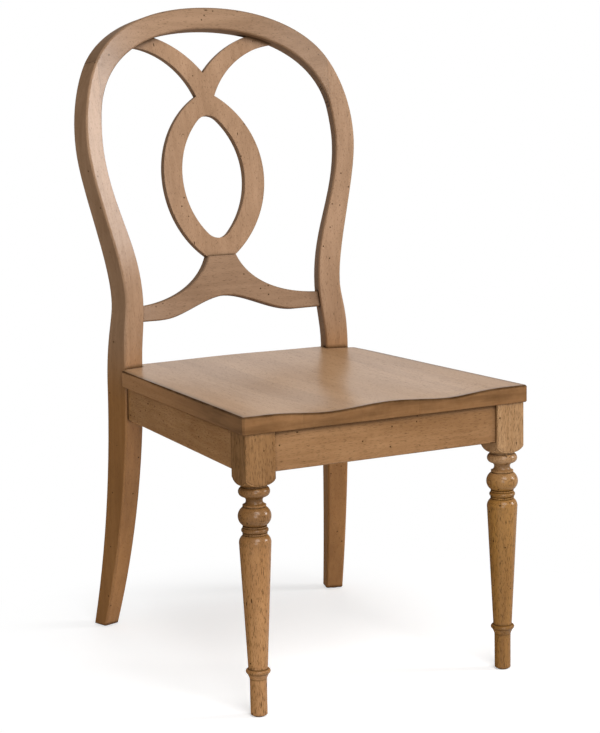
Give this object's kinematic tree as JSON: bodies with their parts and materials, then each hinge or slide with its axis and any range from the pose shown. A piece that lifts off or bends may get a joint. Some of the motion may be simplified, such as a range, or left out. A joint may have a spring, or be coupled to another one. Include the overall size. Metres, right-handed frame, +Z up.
{
  "type": "side chair",
  "caption": "Wooden side chair with an open balloon back, a looped oval splat, a saddled board seat, turned front legs and swept back posts.",
  "frame": {"origin": "on the floor under the middle of the chair's width and depth", "axes": "+Z up, -Y the way the chair faces, +X to the right as seen from the front"},
  "size_m": [0.5344, 0.6703, 1.0786],
  "materials": {
    "back_wood": "satin stained hardwood with a dark glaze in the joints",
    "frame_wood": "satin stained hardwood with a dark glaze in the turnings",
    "seat_wood": "satin stained hardwood boards",
    "block_wood": "raw sawn wood",
    "tenon_wood": "raw planed wood",
    "glide_plastic": "matte"
  },
  "bodies": {
    "root": {"left_back_post": "back_wood", "right_back_post": "back_wood", "crest_arch": "back_wood", "back_splat": "back_wood", "lower_back_rail": "back_wood", "left_front_leg": "frame_wood", "right_front_leg": "frame_wood", "front_apron": "frame_wood", "rear_apron": "frame_wood", "left_apron": "frame_wood", "right_apron": "frame_wood", "seat_board_far_left": "seat_wood", "seat_board_left": "seat_wood", "seat_board_centre": "seat_wood", "seat_board_right": "seat_wood", "seat_board_far_right": "seat_wood", "left_front_corner_block": "block_wood", "right_front_corner_block": "block_wood", "left_rear_corner_block": "block_wood", "right_rear_corner_block": "block_wood", "crest_tenons": "tenon_wood", "foot_glides": "glide_plastic"}
  },
  "joints": []
}
